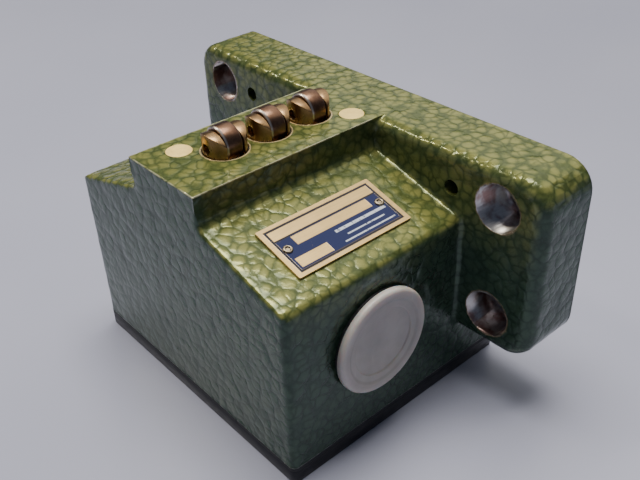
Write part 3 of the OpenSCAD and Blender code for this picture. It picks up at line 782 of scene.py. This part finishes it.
slide = next(joint for joint in frame["joints"] if joint["name"] == "plunger_slide_1")
travel = slide["range_m"][1]
for i in stations:
    work = cleanCopy(f"plunger_{i}")
    roundEdges(work, sharper(38), fork["rounding"], 3)
    head = objectFrom(f"plungerFork_{i}", work, 32)
    place(head, finishes["plungerSteel"], f"plunger_{i}", "plunger_steel", f"plunger_{i}")

    low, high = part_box(f"roller_{i}")
    half, outerR, cut = roller["width"] / 2, roller["radius"], roller["chamfer"]
    profile = [(roller["bore"] + 0.15, -half), (outerR - cut - 0.15, -half)]
    profile += [(outerR - cut, -half + 0.04)]
    profile += [(outerR - 0.05, -half + cut), (outerR - 0.01, -half + cut + 0.15), (outerR, 0)]
    profile += [(radius, -height) for radius, height in profile[-2::-1]]    # the other half, mirrored
    profile += [(roller["bore"], half - 0.15), (roller["bore"], -half + 0.15)]
    work = bmesh.new()
    lathe(work, profile, (low + high) / 2, (0, 1, 0), 96)
    wheel = objectFrom(f"rollerWheel_{i}", work, 30)
    place(wheel, finishes["rollerSteelEdgeHighlight"], f"roller_{i}", "roller_steel", f"roller_{i}")

    low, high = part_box(f"axle_pin_{i}")
    halfPin, pinR, chamfer = (high.y - low.y) / 2 / mm, axle["radius"], axle["chamfer"]
    profile = [(0, -halfPin + 0.12), (axle["tip"], -halfPin + 0.02), (pinR - chamfer, -halfPin)]
    profile += [(pinR, -halfPin + chamfer), (pinR, halfPin - chamfer), (pinR - chamfer, halfPin)]
    profile += [(axle["tip"], halfPin - 0.02), (0, halfPin - 0.12)]    # a shallow dimple at each end
    work = bmesh.new()
    lathe(work, profile, (low + high) / 2, (0, 1, 0), 48)
    pin = objectFrom(f"axlePin_{i}", work, 30)
    place(pin, finishes["pinSteel"], f"plunger_{i}", "pin_steel", f"axle_pin_{i}")

    low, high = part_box(f"return_spring_{i}")
    wire = spring["wire"] * mm
    coil = coilSpring(f"returnSpring_{i}", plungerAt[i], low.z + wire, high.z - wire)
    place(coil, finishes["springSteel"], "housing", "spring_steel", f"return_spring_{i}")
    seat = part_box("carrier_plate")[1].z
    1 - travel / (high.z - seat)
    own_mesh(coil)
print("plungers, rollers and springs made")


def mouldedPlastic(name, look):
    material, shader, spot = startFinish(name, {"IOR": 1.5})
    swirl = spot.mist(240, 5, 0.65)
    feed(shader, "Base Color", swirl.rise(0.3, 0.7).blend(look["dark"], look["light"]))
    feed(shader, "Roughness", swirl * 0.2 + look["rough"])
    feed(shader, "Normal", bump(spot.mist(1900, 3, 0.6), 0.02 * mm, 0.6))
    return material


plasticLooks = {
    "phenolic": {"light": (0.17, 0.09, 0.055), "dark": (0.09, 0.045, 0.028), "rough": 0.32},
    "whitePolymer": {"light": (0.80, 0.79, 0.74), "dark": (0.66, 0.64, 0.58), "rough": 0.24},
}
finishes.update({name: mouldedPlastic(name, look) for name, look in plasticLooks.items()})
slotFinish = {  # the inner pieces keep their CAD shapes and take these
    "black_rubber": "blackRubber", "zinc_steel": "zincSteel", "carrier_steel": "carrierSteel",
    "bush_bronze": "bushBronze", "phenolic": "phenolic", "white_polymer": "whitePolymer",
    "contact_brass": "contactBrass",
}
for part in frame["record"]["subparts"]:
    finish = slotFinish.get(part["material_slot"])
    kept = nodes[part["node"]]
    if finish and not kept.hide_render:
        kept.data.materials.clear()
        kept.data.materials.append(finishes[finish])
print("inner pieces finished")


floorLook = {
    "size": 3.0, "cuts": 60,                                   # metres, and cuts each way
    "dim": (0.350, 0.362, 0.465), "pale": (0.375, 0.385, 0.485),
}


def floorFinish():
    material, shader, spot = startFinish("paleFloor", {"IOR": 1.45})
    cloud = spot.mist(9, 3, 0.5)
    # painted light: the floor is drawn lighter towards the front and darker far off, as the light falls away
    near = spot.axis("Y").rise(0.22, -0.12)
    colour = cloud.rise(0.2, 0.8).blend(floorLook["dim"], floorLook["pale"])
    feed(shader, "Base Color", (near * 0.13 + 0.94) * colour)
    feed(shader, "Roughness", cloud * 0.1 + 0.26)
    return material


work = bmesh.new()
cuts = floorLook["cuts"]
bmesh.ops.create_grid(work, x_segments=cuts, y_segments=cuts, size=floorLook["size"])
bmesh.ops.translate(work, verts=work.verts, vec=(0, 0, coverLow.z))
floor = objectFrom("paleFloor", work)
floor.data.materials.append(floorFinish())

# each light: place seen from the object's middle, size (metres), power (watts), colour
studio = {
    "sky": (0.50, 0.62, 0.90), "skyStrength": 0.11,
    "lights": {
        "overheadPanel": ((-0.12, 0.06, 1.25), (0.9, 0.6), 24, (1.0, 0.96, 0.88)),
        "backPanel": ((-0.20, 0.75, 0.85), (1.6, 1.0), 5, (1.0, 0.96, 0.88)),
        "glintLamp": ((-0.76, -0.42, 0.83), (0.12, 0.12), 3.4, (1.0, 0.92, 0.74)),
    },
}
world = bpy.data.worlds.new("studio")
world.use_nodes = True
sky = world.node_tree.nodes["Background"]
sky.inputs["Color"].default_value = (*studio["sky"], 1)
sky.inputs["Strength"].default_value = studio["skyStrength"]
scene.world = world

centre = Vector((0, (bodyFront + castHigh.y) / 2, (coverLow.z + blockTop) / 2))


def softLight(name, away, size, power, colour):
    lamp = bpy.data.lights.new(name, "AREA")
    lamp.shape, lamp.size, lamp.size_y = "RECTANGLE", size[0], size[1]
    lamp.energy, lamp.color = power, colour
    holder = bpy.data.objects.new(name, lamp)
    holder.location = centre + Vector(away)
    holder.rotation_euler = (-Vector(away)).to_track_quat("-Z", "Y").to_euler()
    scene.collection.objects.link(holder)


for name, settings in studio["lights"].items():
    softLight(name, *settings)

view = {  # places in millimetres, roll in degrees
    "lens": 46.04, "sensor": 36, "stand": (133.6, -138.3, 105.3), "aim": (-1.8, -22.3, -14.8),
    "roll": -2.10,
}
camera = bpy.data.objects.new("camera", bpy.data.cameras.new("camera"))
camera.data.lens, camera.data.sensor_width = view["lens"], view["sensor"]
camera.data.clip_start = 0.005
stand, aim = Vector(view["stand"]) * mm, Vector(view["aim"]) * mm
turn = (aim - stand).to_track_quat("-Z", "Y").to_matrix().to_4x4()
turn = turn @ Matrix.Rotation(math.radians(view["roll"]), 4, "Z")
camera.matrix_world = Matrix.Translation(stand) @ turn
scene.collection.objects.link(camera)
scene.camera = camera
print("stage set")
